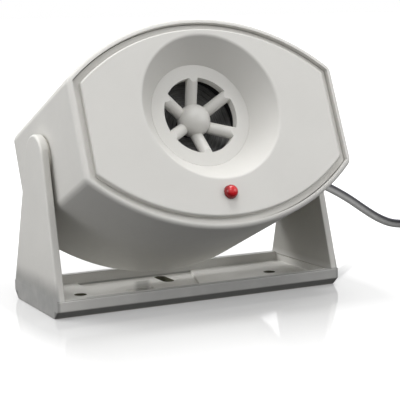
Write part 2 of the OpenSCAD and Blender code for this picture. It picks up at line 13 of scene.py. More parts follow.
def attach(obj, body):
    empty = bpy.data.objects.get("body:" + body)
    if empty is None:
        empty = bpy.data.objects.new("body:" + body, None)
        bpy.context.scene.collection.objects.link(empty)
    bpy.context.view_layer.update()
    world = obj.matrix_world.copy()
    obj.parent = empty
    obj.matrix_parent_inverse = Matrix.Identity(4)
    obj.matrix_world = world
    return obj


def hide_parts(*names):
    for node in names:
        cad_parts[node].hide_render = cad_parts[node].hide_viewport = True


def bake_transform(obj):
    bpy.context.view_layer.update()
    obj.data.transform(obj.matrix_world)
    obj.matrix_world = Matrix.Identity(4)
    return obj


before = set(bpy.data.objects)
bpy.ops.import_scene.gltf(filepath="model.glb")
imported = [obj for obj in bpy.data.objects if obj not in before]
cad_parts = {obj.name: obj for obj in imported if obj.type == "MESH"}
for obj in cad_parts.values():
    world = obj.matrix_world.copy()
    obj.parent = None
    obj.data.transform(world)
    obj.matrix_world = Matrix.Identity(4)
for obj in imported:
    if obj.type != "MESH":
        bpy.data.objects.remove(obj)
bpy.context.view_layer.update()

MM = 0.001

# The camera: what it looks at, from how far, its angles in degrees and its lens in mm
VIEW_AIM = Vector((7.3, -5.2, 35.2)) * MM
VIEW_DISTANCE = 483.5 * MM
VIEW_LEFT = 26.52
VIEW_ABOVE = 8.27
VIEW_ROLL = -1.03
VIEW_LENS = 115.25

# The surroundings' brightness below and above the horizon, as seen or mirrored, and on matt surfaces
SEEN_LEVELS = (0.10, 1.0)
MATT_LEVELS = (0.15, 0.23)

# The directions' Z between which the surroundings change from below to above the horizon
HORIZON = (-0.12, -0.02)

# The soft boxes: name, place and size in metres, power in watts
LAMPS = [
    ("key", (-0.6, -0.9, 1.2), 0.7, 6.4),
    ("left", (-1.5, -0.1, 0.5), 0.8, 4.8),
    ("right", (0.9, -0.8, 0.6), 0.8, 5.2),
    ("top", (0.0, 0.1, 1.6), 0.9, 16.8),
    ("rear", (-1.0, 0.8, 0.9), 0.8, 9.2),
]

# The colour of the bracket's, the housing's and the panel's plastic
SHELL = (0.70, 0.69, 0.66)

# The table's glow near the bracket and far from it, the distances in mm between which it changes, and
# how many times a distance beside the base counts, as against one in front of it
GLOW_LEVELS = (0.21, 0.6)
GLOW_REACH = (25, 100)
GLOW_BESIDE = 3

# The bracket, in mm, with the arms' lean in degrees
BRACKET_LENGTH = 115
BRACKET_DEPTH = 46
RIM_HEIGHT = 6.7
RIM_THICKNESS = 2.8
BEVEL_HEIGHT = 3
ARM_THICKNESS = 3
ARM_LEAN = 1.2
ARM_TIP_RADIUS = 8.8
SCREW_X = 40
SCREW_RADIUS = 2.25
SLOT_Y = 12.75
SLOT_REACH = 3.75
SLOT_RADIUS = 2.2

# The soft grey patch of painted shade on the bracket's floor, in mm: it slants to the right by this much
# per mm rearwards
PAINTED_PATCH_X = (-17.9, -12.2)
PAINTED_PATCH_Y = (-6, 14)
PAINTED_PATCH_SLANT = 0.447

# The head, in mm. Its face looks along -Y of a frame that is tilted about the pivot, in degrees
PIVOT_HEIGHT = 54.4
TILT = 23
HEAD_WIDTH = 104.8
HEAD_HEIGHT = 78.4
HEAD_SIDE = 36.6
HEAD_DROP = 1
CORNER_RADIUS = 4
PANEL_CORNER_RADIUS = 1.6
RIM_Y = -35.5
PANEL_Y = -35.9
REAR_Y = 29.9
RIM_WIDTH = 1.9
CHANNEL_WIDTH = 2.5
HORN_HEIGHT = 4.7
LIGHT_DROP = 27.3

# How far the edges are rounded, in mm
RIM_ROUNDING = 1.5
REAR_ROUNDING = 1.2
PANEL_ROUNDING = 0.7
ARM_OUTER_ROUNDING = 0.9
ARM_INNER_ROUNDING = 0.4
BASE_ROUNDING = 0.4

# The angles in degrees from which an edge is shaded sharp: anywhere, and where a flat face begins
CORNER_ANGLE = 28
BORDER_ANGLE = 2

# The cord, in mm
CORD_DIAMETER = 4
CORD_EXIT = (22, 48.2, 22)
CORD_STRAIGHT = (22, 56.9, 22)
CORD_ROUTE = [
    (24, 69.5, 49), (29.5, 76.5, 46.4), (38, 81, 44), (49, 83, 41.8), (61, 83.5, 39.6), (73, 83, 37.3),
    (85, 82, 34.6), (96, 80.5, 31.2), (106, 79, 27.3), (114, 78, 23.7), (121, 77, 20), (128, 76, 15.7),
    (135, 75, 10.8), (142, 74, 6.3), (149, 73.2, 3.2), (156, 72.5, 2.1), (162, 72.1, 2.1),
    (169, 72, 2.1), (176, 72, 2.1),
]
COIL_CENTRE = (184, 46)
COIL_INNER = 16
COIL_COLUMNS = 3
COIL_LAYERS = 4
COIL_TURNS = 11.25
COIL_FLOOR = 2.1
TURN_POINTS = 32
CORD_TAIL = [(33, 13.1), (28, 10.4), (23, 7.5), (18, 5.7), (13.4, 5.1)]


# The head's own frame ---------------------------------------------------

def from_head(place):
    """A point of the head's own frame, tilted as the head stands, in millimetres."""
    x, y, z = place
    turn = math.radians(TILT)
    return Vector((
        x,
        y * math.cos(turn) + z * math.sin(turn),
        PIVOT_HEIGHT - y * math.sin(turn) + z * math.cos(turn),
    ))


def in_head(place):
    """A point in metres as the head's own millimetres: the inverse of from_head."""
    x, y, z = place / MM
    turn = math.radians(TILT)
    z -= PIVOT_HEIGHT
    return Vector((x, y * math.cos(turn) - z * math.sin(turn), y * math.sin(turn) + z * math.cos(turn)))


def head_rearwards():
    """The direction from the head's face to its rear."""
    return from_head((0, 1, 0)) - from_head((0, 0, 0))


# Camera -----------------------------------------------------------------

def add_camera():
    """The camera stands in front of the object, to its left and a little above it."""
    turn, lift = math.radians(VIEW_LEFT), math.radians(VIEW_ABOVE)
    forward = Vector((
        math.sin(turn) * math.cos(lift), math.cos(turn) * math.cos(lift), -math.sin(lift)
    ))
    right = forward.cross(Vector((0, 0, 1))).normalized()
    up = right.cross(forward)
    roll = math.radians(VIEW_ROLL)
    level_right, level_up = right, up
    right = math.cos(roll) * level_right + math.sin(roll) * level_up
    up = math.cos(roll) * level_up - math.sin(roll) * level_right
    data = bpy.data.cameras.new("camera")
    data.lens = VIEW_LENS
    data.sensor_width = 36
    data.clip_start = 0.01
    data.clip_end = 200
    camera = bpy.data.objects.new("camera", data)
    camera.matrix_world = Matrix((right, up, -forward)).transposed().to_4x4()
    camera.matrix_world.translation = VIEW_AIM - VIEW_DISTANCE * forward
    bpy.context.scene.collection.objects.link(camera)
    bpy.context.scene.camera = camera


# Node trees -------------------------------------------------------------

class Nodes:
    """A short way to write a material's node tree."""

    def __init__(self, name):
        self.material = bpy.data.materials.new(name)
        self.material.use_nodes = True
        self.tree = self.material.node_tree
        self.tree.nodes.clear()
        self.output = self.tree.nodes.new("ShaderNodeOutputMaterial")
        self.shader = self.tree.nodes.new("ShaderNodeBsdfPrincipled")
        self.link(self.shader.outputs["BSDF"], self.output.inputs["Surface"])
        self.place = self.add("ShaderNodeTexCoord").outputs["Object"]

    @classmethod
    def over(cls, material):
        """The same helpers, over a material that is already made."""
        n = cls.__new__(cls)
        n.material, n.tree = material, material.node_tree
        n.shader = n.tree.nodes["Principled BSDF"]
        n.place = n.add("ShaderNodeTexCoord").outputs["Object"]
        return n

    def add(self, kind, **settings):
        node = self.tree.nodes.new(kind)
        for key, value in settings.items():
            setattr(node, key, value)
        return node

    def link(self, source, target):
        self.tree.links.new(source, target)

    def noise(self, scale, detail=3.0, roughness=0.55):
        node = self.add("ShaderNodeTexNoise")
        self.link(self.place, node.inputs["Vector"])
        node.inputs["Scale"].default_value = scale
        node.inputs["Detail"].default_value = detail
        node.inputs["Roughness"].default_value = roughness
        return node.outputs["Fac"]

    def span(self, source, low, high, to_low=0.0, to_high=1.0, smooth=False):
        """Maps low..high of a value to another range, and holds it there."""
        node = self.add("ShaderNodeMapRange", interpolation_type="SMOOTHSTEP" if smooth else "LINEAR")
        self.link(source, node.inputs["Value"])
        for socket, value in (
            ("From Min", low), ("From Max", high), ("To Min", to_low), ("To Max", to_high)
        ):
            node.inputs[socket].default_value = value
        return node.outputs["Result"]

    def math(self, operation, first, second):
        node = self.add("ShaderNodeMath", operation=operation)
        for socket, value in zip(node.inputs, (first, second)):
            if isinstance(value, (int, float)):
                socket.default_value = value
            else:
                self.link(value, socket)
        return node.outputs[0]

    def size(self, value):
        return self.math("ABSOLUTE", value, 0)

    def both(self, first, second):
        return self.math("MULTIPLY", first, second)

    def far(self, across, along):
        """How far off a place is that lies this far across and this far along."""
        squares = self.math("ADD", self.both(across, across), self.both(along, along))
        return self.math("SQRT", squares, 0)

    def above(self, value, low, high, smooth=False):
        """0 up to low and 1 from high on, in millimetres."""
        return self.span(value, low * MM, high * MM, 0, 1, smooth)

    def below(self, value, low, high, smooth=False):
        """1 up to low and 0 from high on, in millimetres."""
        return self.span(value, low * MM, high * MM, 1, 0, smooth)

    def between(self, value, low, high, soft):
        """1 from low to high and 0 outside, in millimetres, with borders this soft."""
        rise = self.above(value, low - soft, low + soft, smooth=True)
        return self.both(rise, self.below(value, high - soft, high + soft, smooth=True))

    def mix(self, share, first, second):
        """A colour between two, each a colour or another node's output."""
        node = self.add("ShaderNodeMix", data_type="RGBA")
        self.link(share, node.inputs["Factor"])
        for socket, value in (("A", first), ("B", second)):
            target = [s for s in node.inputs if s.name == socket and s.type == "RGBA"][0]
            if isinstance(value, tuple):
                target.default_value = (*value, 1)
            else:
                self.link(value, target)
        return [s for s in node.outputs if s.type == "RGBA"][0]

    def axes(self):
        """The place's X, Y and Z."""
        node = self.add("ShaderNodeSeparateXYZ")
        self.link(self.place, node.inputs["Vector"])
        return [node.outputs[axis] for axis in "XYZ"]

    def tone(self):
        """What the shader's base colour is taken from."""
        return self.shader.inputs["Base Color"].links[0].from_socket

    def from_axis(self, point, direction):
        """The distance from a straight line through point."""
        offset = self.add("ShaderNodeVectorMath", operation="SUBTRACT")
        self.link(self.place, offset.inputs[0])
        offset.inputs[1].default_value = point
        across = self.add("ShaderNodeVectorMath", operation="CROSS_PRODUCT")
        self.link(offset.outputs["Vector"], across.inputs[0])
        across.inputs[1].default_value = direction.normalized()
        length = self.add("ShaderNodeVectorMath", operation="LENGTH")
        self.link(across.outputs["Vector"], length.inputs[0])
        return length.outputs["Value"]

    def bump(self, height, distance, strength=1.0, under=None):
        node = self.add("ShaderNodeBump")
        self.link(height, node.inputs["Height"])
        node.inputs["Distance"].default_value = distance
        node.inputs["Strength"].default_value = strength
        if under is not None:
            self.link(under, node.inputs["Normal"])
        return node.outputs["Normal"]

    def set(self, **values):
        """Sets the shader's own sockets; a name's underscores stand for spaces."""
        for key, value in values.items():
            socket = self.shader.inputs[key.replace("_", " ")]
            if hasattr(value, "is_output"):
                self.link(value, socket)
            else:
                socket.default_value = (*value, 1) if isinstance(value, tuple) else value
        return self


# Materials --------------------------------------------------------------

def moulded(name, colour, roughness=0.5, mottle=0.04, corner_shade=0.4, crevice_shade=0.7):
    """Moulded plastic: fine spark-eroded grain, slow changes of tone, and painted shade where walls meet,
    darker in tight crevices.
    """
    corner_shade_tint, crevice_shade_tint = (0.72, 0.70, 0.64), (0.30, 0.27, 0.18)
    n = Nodes(name)
    darker = tuple(c * (1 - mottle) for c in colour)
    tone = n.mix(n.span(n.noise(38, 4), 0.3, 0.7), darker, colour)
    flecks = n.span(n.noise(1900, 2), 0.66, 0.8, 0, 0.35)
    tone = n.mix(flecks, tone, tuple(c * 0.9 for c in colour))
    # Painted shade from ambient occlusion: a light darkening where walls meet and a deep brownish one in
    # tight crevices
    corner = n.add("ShaderNodeAmbientOcclusion", samples=4)
    corner.inputs["Distance"].default_value = 2.5 * MM
    corner_shaded = n.span(corner.outputs["AO"], 0.25, 0.75, corner_shade, 0, smooth=True)
    tone = n.mix(corner_shaded, tone, tuple(c * f for c, f in zip(colour, corner_shade_tint)))
    crevice_shaded = n.span(corner.outputs["AO"], 0.08, 0.35, crevice_shade, 0, smooth=True)
    tone = n.mix(crevice_shaded, tone, tuple(c * f for c, f in zip(colour, crevice_shade_tint)))
    rough = n.span(n.noise(420, 3), 0.3, 0.7, roughness - 0.06, roughness + 0.06)
    swell = n.bump(n.noise(160, 2), 0.03 * MM, 0.35)
    grains = n.bump(n.noise(2600, 2, 0.6), 0.012 * MM, 1.0, under=swell)
    n.set(Base_Color=tone, Roughness=rough, Normal=grains, IOR=1.5, Specular_IOR_Level=0.4)
    return n.material


def on_tray(n, x, y, z):
    """1 on the floor between the bracket's rims and arms, and 0 on the rest of it."""
    inner_x, inner_y = BRACKET_LENGTH / 2 - ARM_THICKNESS, BRACKET_DEPTH / 2 - RIM_THICKNESS
    edge = 0.1
    inside_x = n.below(n.size(x), inner_x - edge, inner_x + edge)
    inside_y = n.below(n.size(y), inner_y - edge, inner_y + edge)
    under_rim = n.below(z, RIM_HEIGHT - 0.3, RIM_HEIGHT - 0.1)
    return n.both(n.both(inside_x, inside_y), n.both(n.above(z, 1, 1.5), under_rim))


# Where the soft grey patch of painted shade lies on the bracket's floor
def on_painted_patch(n, x, y):
    slanted = n.math("SUBTRACT", x, n.both(y, PAINTED_PATCH_SLANT))
    return n.both(n.between(slanted, *PAINTED_PATCH_X, 1.3), n.between(y, *PAINTED_PATCH_Y, 1.5))


def in_slot(n, x, y, centre, reach, radius):
    """1 in a slot along Y, or in a round hole where reach is 0, on the left and on the right alike."""
    across = n.math("SUBTRACT", n.size(x), centre[0] * MM)
    beyond = n.math("SUBTRACT", n.size(n.math("SUBTRACT", y, centre[1] * MM)), reach * MM)
    return n.below(n.far(across, n.math("MAXIMUM", beyond, 0)), radius + 0.05, radius + 0.2)


def painted_low_shade(n, tone, x, y, z):
    """Patchy painted shade low on the base's front, rear and ends, and even, darker painted shade on the
    bevels under them.
    """
    across, along = n.size(x), n.size(y)
    half_length, half_depth = BRACKET_LENGTH / 2, BRACKET_DEPTH / 2
    patchy = n.span(n.noise(90, 3), 0.3, 0.7, 0.65, 0.95)
    fading_left = n.span(x, -56 * MM, -25 * MM, 0.15, 1)
    on_front = n.both(n.above(along, half_depth - 4, half_depth - 0.2), fading_left)
    on_front = n.both(on_front, n.below(z, RIM_HEIGHT, RIM_HEIGHT + 0.9, smooth=True))
    on_ends = n.above(across, half_length - 1.3, half_length - 0.5)
    on_ends = n.both(on_ends, n.below(z, 8, 15, smooth=True))
    on_bevels = n.below(z, BEVEL_HEIGHT - 0.4, BEVEL_HEIGHT + 0.1)
    on_bevels = n.both(on_bevels, n.above(along, half_depth - 4, half_depth - 2.5))
    # Painted shade: patchy on the front, rear and ends, even on the bevels
    tone = n.mix(n.both(on_front, patchy), tone, (0.42, 0.42, 0.41))
    tone = n.mix(n.both(on_ends, patchy), tone, (0.30, 0.30, 0.295))
    return n.mix(n.both(on_bevels, 0.8), tone, (0.15, 0.15, 0.145))


def shaded(n, tone, z):
    """Darker above the rims, where the bracket and the head stand close."""
    near = n.add("ShaderNodeAmbientOcclusion", samples=8)
    near.inputs["Distance"].default_value = 45 * MM
    hidden = n.span(near.outputs["AO"], 0.3, 0.8, 0.5, 0)
    return n.mix(n.both(hidden, n.above(z, RIM_HEIGHT, 9)), tone, (0.30, 0.29, 0.25))


def handled_bracket(material):
    """The bracket's plastic, with painted light on its floor, a soft grey patch of painted shade on it, and
    painted shade in its holes, low down and above the rims.
    """
    n = Nodes.over(material)
    x, y, z = n.axes()
    tray = on_tray(n, x, y, z)
    # Painted light: the floor between the rims is painted paler than the rest of the plastic
    tone = n.mix(n.both(tray, 0.9), n.tone(), (0.90, 0.89, 0.85))
    # Painted shade: a soft grey patch on the floor
    tone = n.mix(n.both(n.both(on_painted_patch(n, x, y), tray), 0.62), tone, (0.2, 0.2, 0.18))
    # Painted shade: the walls of the screw holes and the keyhole are painted dark, as shade deep in them
    screw_hole = in_slot(n, x, y, (SCREW_X, 0), 0, SCREW_RADIUS)
    keyhole = in_slot(n, x, y, (0, SLOT_Y), SLOT_REACH, SLOT_RADIUS)
    for hole in (screw_hole, keyhole):
        tone = n.mix(hole, tone, (0.11, 0.107, 0.07))
    n.set(Base_Color=shaded(n, painted_low_shade(n, tone, x, y, z), z))
    return material


def red_lens():
    """Clear red epoxy, with painted light over the lit die in the middle and painted shade where the dome
    turns away.
    """
    n = Nodes("red_lens")
    off_axis = n.from_axis(from_head((0, 0, -LIGHT_DROP)) * MM, head_rearwards())
    rim = n.above(off_axis, 1.1, 2.4, smooth=True)
    # Painted light in the dome's middle and painted shade towards its edge
    tone = n.mix(rim, (0.55, 0.010, 0.016), (0.20, 0.002, 0.005))
    tone = n.mix(n.span(n.noise(1200, 2), 0.45, 0.65, 0, 0.2), tone, (0.75, 0.03, 0.04))
    n.set(Base_Color=tone, Roughness=n.span(n.noise(1500, 2), 0.3, 0.7, 0.12, 0.2), IOR=1.5)
    n.set(Specular_IOR_Level=0.5)
    n.set(Emission_Color=n.mix(rim, (0.9, 0.01, 0.02), (0.08, 0.0, 0.0)), Emission_Strength=0.10)
    return n.material


def cone_paper():
    """Black treated paper: fine pressed rings and short fibres."""
    n = Nodes("cone_paper")
    pitch = 0.8 * MM
    away = n.from_axis(from_head((0, 0, HORN_HEIGHT)) * MM, head_rearwards())
    rings = n.math("SINE", n.math("MULTIPLY", away, 2 * math.pi / pitch), 0)
    fibres = n.noise(1600, 4, 0.7)
    tone = n.mix(n.span(fibres, 0.35, 0.7), (0.19, 0.19, 0.187), (0.25, 0.25, 0.245))
    tone = n.mix(n.span(rings, -0.2, 1, 0, 0.45), tone, (0.36, 0.36, 0.355))
    n.set(Base_Color=tone, Roughness=n.span(fibres, 0.3, 0.7, 0.6, 0.8))
    n.set(Normal=n.bump(rings, 0.04 * MM, 0.6, under=n.bump(fibres, 0.03 * MM, 0.8)))
    return n.material


def metal(name, colour, roughness, stretch=(1, 1, 1), scratches=2200):
    """Plated or bare metal with fine drawn scratches and dull spots."""
    n = Nodes(name)
    long = n.add("ShaderNodeMapping")
    long.inputs["Scale"].default_value = stretch
    n.link(n.place, long.inputs["Vector"])
    lines = n.add("ShaderNodeTexNoise")
    n.link(long.outputs["Vector"], lines.inputs["Vector"])
    lines.inputs["Scale"].default_value = scratches
    lines.inputs["Detail"].default_value = 4
    spots = n.span(n.noise(500, 3), 0.45, 0.7)
    dull = tuple(c * 0.72 for c in colour)
    n.set(Base_Color=n.mix(spots, colour, dull), Metallic=1.0)
    n.set(Roughness=n.span(lines.outputs["Fac"], 0.3, 0.7, roughness - 0.08, roughness + 0.12))
    n.set(Normal=n.bump(lines.outputs["Fac"], 0.006 * MM, 0.8))
    return n.material


def glued_brass():
    """The piezo disc: brass, with black glue over its middle, where the paper cone meets it."""
    material = metal("glued_brass", (0.62, 0.46, 0.20), 0.3)
    n = Nodes.over(material)
    away = n.from_axis(from_head((0, 0, HORN_HEIGHT)) * MM, head_rearwards())
    glue = n.below(away, 4.2, 4.6)
    n.set(Base_Color=n.mix(glue, n.tone(), (0.03, 0.03, 0.03)), Metallic=n.span(glue, 0, 1, 1, 0))
    return material


def rubbery(name, colour, roughness, pore=1500, depth=0.02):
    """Soft PVC or foam: satin skin with small pores and scuffs."""
    n = Nodes(name)
    scuffs = n.span(n.noise(240, 4, 0.65), 0.5, 0.72, 0, 0.6)
    tone = n.mix(scuffs, colour, tuple(min(1, c * 1.7 + 0.012) for c in colour))
    n.set(Base_Color=tone, Roughness=n.span(n.noise(420, 3), 0.3, 0.7, roughness - 0.08, roughness + 0.1))
    n.set(Normal=n.bump(n.noise(pore, 3), depth * MM, 0.8), Specular_IOR_Level=0.45)
    return n.material


def printed_board():
    """Green solder mask over copper tracks."""
    n = Nodes("printed_board")
    cells = n.add("ShaderNodeTexVoronoi", feature="DISTANCE_TO_EDGE")
    n.link(n.place, cells.inputs["Vector"])
    cells.inputs["Scale"].default_value = 210
    tracks = n.span(cells.outputs["Distance"], 0.10, 0.14, 1, 0)
    tone = n.mix(tracks, (0.012, 0.085, 0.035), (0.05, 0.22, 0.07))
    tone = n.mix(n.span(n.noise(1400, 3), 0.55, 0.7, 0, 0.3), tone, (0.02, 0.05, 0.03))
    n.set(Base_Color=tone, Roughness=n.span(tracks, 0, 1, 0.32, 0.22))
    n.set(Normal=n.bump(tracks, 0.035 * MM, 1.0))
    return n.material


def wound_copper():
    """Layers of enamelled wire."""
    n = Nodes("wound_copper")
    turns = n.add("ShaderNodeTexWave", wave_type="BANDS", bands_direction="X")
    n.link(n.place, turns.inputs["Vector"])
    turns.inputs["Scale"].default_value = 700
    turns.inputs["Distortion"].default_value = 0.6
    tone = n.mix(turns.outputs["Fac"], (0.18, 0.05, 0.02), (0.62, 0.25, 0.11))
    n.set(Base_Color=tone, Metallic=0.7, Roughness=n.span(n.noise(900, 2), 0.3, 0.7, 0.25, 0.4))
    n.set(Normal=n.bump(turns.outputs["Fac"], 0.12 * MM, 1.0))
    return n.material


# Shapes and paint -------------------------------------------------------

def paint(node, material):
    """Gives a CAD node this material all over."""
    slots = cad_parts[node].data.materials
    slots.clear()
    slots.append(material)


def barrel_depth(place, inset, rounding):
    """How deep a point of the head's own frame lies inside the head's outline, moved in and rounded."""
    rise = (HEAD_HEIGHT - HEAD_SIDE) / 2
    arch = (HEAD_WIDTH ** 2 / 4 + rise ** 2) / (2 * rise)
    arch_centre = HEAD_HEIGHT / 2 - arch
    side, arch = HEAD_WIDTH / 2 - inset, arch - inset
    x, z = abs(place.x), abs(place.z + HEAD_DROP)
    corner_x = side - rounding
    corner_rise = math.sqrt((arch - rounding) ** 2 - corner_x ** 2)
    over_x, over_z = x - corner_x, z - arch_centre - corner_rise
    if 0 < math.atan2(over_z, over_x) < math.atan2(corner_rise, corner_x):
        return rounding - math.hypot(over_x, over_z)
    return min(side - x, arch - math.hypot(x, z - arch_centre))


def roll_edge(form, end_y, inwards, radius, inset, rounding):
    """Rounds the edge between a wall that follows the head's outline and its flat end at end_y."""
    steps = 6
    for k in range(1, steps + 1):
        y = end_y + inwards * radius * (1 - math.cos(math.pi / 2 * k / steps))
        geometry = form.verts[:] + form.edges[:] + form.faces[:]
        bmesh.ops.bisect_plane(
            form, geom=geometry, dist=0.0001 * MM, plane_co=from_head((0, y, 0)) * MM,
            plane_no=head_rearwards(),
        )
    nudge = 0.01
    for corner in form.verts:
        place = in_head(corner.co)
        along = (place.y - end_y) * inwards
        if not -nudge < along < radius or abs(barrel_depth(place, inset, rounding)) > 2 * nudge:
            continue
        slopes = [
            barrel_depth(place + step, inset, rounding) - barrel_depth(place - step, inset, rounding)
            for step in (Vector((nudge, 0, 0)), Vector((0, 0, nudge)))
        ]
        deeper = Vector((slopes[0], 0, slopes[1])).normalized()
        short = radius - max(along, 0)
        corner.co = from_head(place + deeper * (radius - math.sqrt(radius ** 2 - short ** 2))) * MM


def roll_chosen(form, radius, chosen):
    """Rounds the edges whose two ends, in millimetres, pass a test."""
    edges = [
        e for e in form.edges
        if e.calc_face_angle() > math.radians(25) and chosen(*(v.co / MM for v in e.verts))
    ]
    bmesh.ops.bevel(
        form, geom=edges, offset=radius * MM, offset_type="OFFSET", segments=4, profile=0.5,
        affect="EDGES", clamp_overlap=False, loop_slide=True,
    )


def shade_edges(form):
    """Smooth over curves, sharp at corners and wherever a flat side, front, top or rear begins."""
    level = [Vector((1, 0, 0)), Vector((0, 1, 0)), Vector((0, 0, 1)), head_rearwards()]
    flat = {f for f in form.faces if any(abs(f.normal.dot(d)) > 0.99999 for d in level)}
    for face in form.faces:
        face.smooth = True
    for edge in form.edges:
        turn = edge.calc_face_angle(math.pi)
        borders = any(f in flat for f in edge.link_faces)
        edge.smooth = turn < math.radians(BORDER_ANGLE if borders else CORNER_ANGLE)


def moulding(node, body, shape):
    """A copy of a CAD node that stands for it, with its edges rounded by shape(mesh)."""
    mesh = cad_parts[node].data.copy()
    form = bmesh.new()
    form.from_mesh(mesh)
    bmesh.ops.remove_doubles(form, verts=form.verts, dist=0.002 * MM)
    shape(form)
    form.normal_update()
    shade_edges(form)
    form.to_mesh(mesh)
    form.free()
    piece = bpy.data.objects.new(node + "_moulding", mesh)
    bpy.context.scene.collection.objects.link(piece)
    normals = piece.modifiers.new("normals", "WEIGHTED_NORMAL")
    normals.keep_sharp = True
    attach(piece, body)
    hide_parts(node)
    return piece


def shape_housing(form):
    roll_edge(form, RIM_Y, 1, RIM_ROUNDING, 0, CORNER_RADIUS)
    roll_edge(form, REAR_Y, -1, REAR_ROUNDING, 0, CORNER_RADIUS)


def shape_panel(form):
    roll_edge(form, PANEL_Y, 1, PANEL_ROUNDING, RIM_WIDTH + CHANNEL_WIDTH, PANEL_CORNER_RADIUS)


def shape_bracket(form):
    """Rounds the outlines of the arms' outer and inner faces and the base's outer edges."""
    half_length, half_depth = BRACKET_LENGTH / 2, BRACKET_DEPTH / 2
    inner_x = half_length - ARM_THICKNESS
    slope = math.tan(math.radians(ARM_LEAN))
    margin = 0.02

    def of_arm(p, side):
        """Whether p is on the outline of an arm's outer (1) or inner (-1) face."""
        middle = half_length - ARM_THICKNESS / 2 - slope * (p.z - RIM_HEIGHT)
        off_boss = math.hypot(p.y, p.z - PIVOT_HEIGHT) > ARM_TIP_RADIUS - 0.4
        above_base = p.z > RIM_HEIGHT - margin and abs(p.x) > inner_x - 1.1
        return above_base and off_boss and side * (abs(p.x) - middle) > 0

    def on_arm(side):
        def test(*ends):
            rises = max(p.z for p in ends) > RIM_HEIGHT + 0.5
            return rises and all(of_arm(p, side) for p in ends)
        return test

    def on_base(*ends):
        middle = (ends[0] + ends[1]) / 2
        under_arm = middle.z > RIM_HEIGHT - 0.1 and abs(middle.x) > inner_x - 0.2
        outside = all(abs(p.y) > half_depth - 4 or abs(p.x) > half_length - 1 for p in ends)
        return outside and not under_arm and all(p.z < RIM_HEIGHT + margin for p in ends)

    walls = [e for e in form.edges if all(abs(f.normal.z) < 0.99 for f in e.link_faces)]
    bmesh.ops.dissolve_limit(form, angle_limit=math.radians(0.3), verts=[], edges=walls)
    roll_chosen(form, ARM_OUTER_ROUNDING, on_arm(1))
    roll_chosen(form, ARM_INNER_ROUNDING, on_arm(-1))
    roll_chosen(form, BASE_ROUNDING, on_base)


# Cord -------------------------------------------------------------------

def smooth_line(points, steps):
    """A smooth line through points, with steps pieces between each two."""
    line = []
    last = len(points) - 1
    for i in range(last):
        a, b, c, d = points[max(i - 1, 0)], points[i], points[i + 1], points[min(i + 2, last)]
        for k in range(steps):
            t = k / steps
            line.append(0.5 * (
                2 * b + (c - a) * t + (2 * a - 5 * b + 4 * c - d) * t * t
                + (3 * b - a - 3 * c + d) * t ** 3
            ))
    return line + [points[last]]


def coil_slot(number):
    """Radius and height of a turn: the turns run in and out again, one layer on another."""
    layer, column = divmod(number, COIL_COLUMNS)
    from_inside = COIL_COLUMNS - 1 - column if layer % 2 == 0 else column
    radius = COIL_INNER + (from_inside + 0.5) * CORD_DIAMETER
    return radius, COIL_FLOOR + layer * CORD_DIAMETER


def coil_line():
    """The cord's turns, from where it reaches the coil at the back to where it leaves it at the right."""
    slots = COIL_COLUMNS * COIL_LAYERS
    turn_length = COIL_TURNS / slots
    # How much of a turn the cord takes to cross over to the next slot
    change = 0.13
    count = round(COIL_TURNS * TURN_POINTS)
    line = []
    for i in range(count + 1):
        turned = COIL_TURNS * i / count
        number = min(int(turned / turn_length), slots - 1)
        radius, height = coil_slot(number)
        share = (turned - (number + 1) * turn_length + change) / change
        if share > 0 and number < slots - 1:
            next_radius, next_height = coil_slot(number + 1)
            ease = share * share * (3 - 2 * share)
            radius += (next_radius - radius) * ease
            height += (next_height - height) * ease
        angle = math.radians(90 - 360 * turned)
        line.append(Vector((
            COIL_CENTRE[0] + radius * math.cos(angle), COIL_CENTRE[1] + radius * math.sin(angle), height
        )))
    return line


def cord_line():
    """The cord's whole centreline, in metres."""
    loose = [from_head(CORD_EXIT), from_head(CORD_STRAIGHT)] + [Vector(p) for p in CORD_ROUTE]
    coil = coil_line()
    last = coil[-1]
    tail = [last + Vector((0, -6, 0))] + [Vector((last.x, y, z)) for y, z in CORD_TAIL]
    line = smooth_line(loose, 3) + coil + smooth_line(tail, 4)
    return [p * MM for p in line]


def sweep(name, line, radius, sides):
    """A closed round tube along a line, with the angle round it kept as an attribute."""
    mesh = bpy.data.meshes.new(name)
    form = bmesh.new()
    around = form.verts.layers.float.new("around")
    rings = []
    for i, place in enumerate(line):
        ahead = (line[min(i + 1, len(line) - 1)] - line[max(i - 1, 0)]).normalized()
        side = ahead.cross(Vector((0, 0, 1))).normalized()
        over = side.cross(ahead)
        ring = []
        for k in range(sides):
            angle = 2 * math.pi * k / sides
            corner = form.verts.new(place + radius * (math.cos(angle) * side + math.sin(angle) * over))
            corner[around] = math.sin(angle)
            ring.append(corner)
        rings.append(ring)
    for ring, following in zip(rings, rings[1:]):
        for k in range(sides):
            after = (k + 1) % sides
            form.faces.new((ring[k], ring[after], following[after], following[k]))
    form.faces.new(list(reversed(rings[0])))
    form.faces.new(rings[-1])
    bmesh.ops.recalc_face_normals(form, faces=form.faces)
    form.to_mesh(mesh)
    form.free()
    mesh.shade_smooth()
    piece = bpy.data.objects.new(name, mesh)
    bpy.context.scene.collection.objects.link(piece)
    return piece


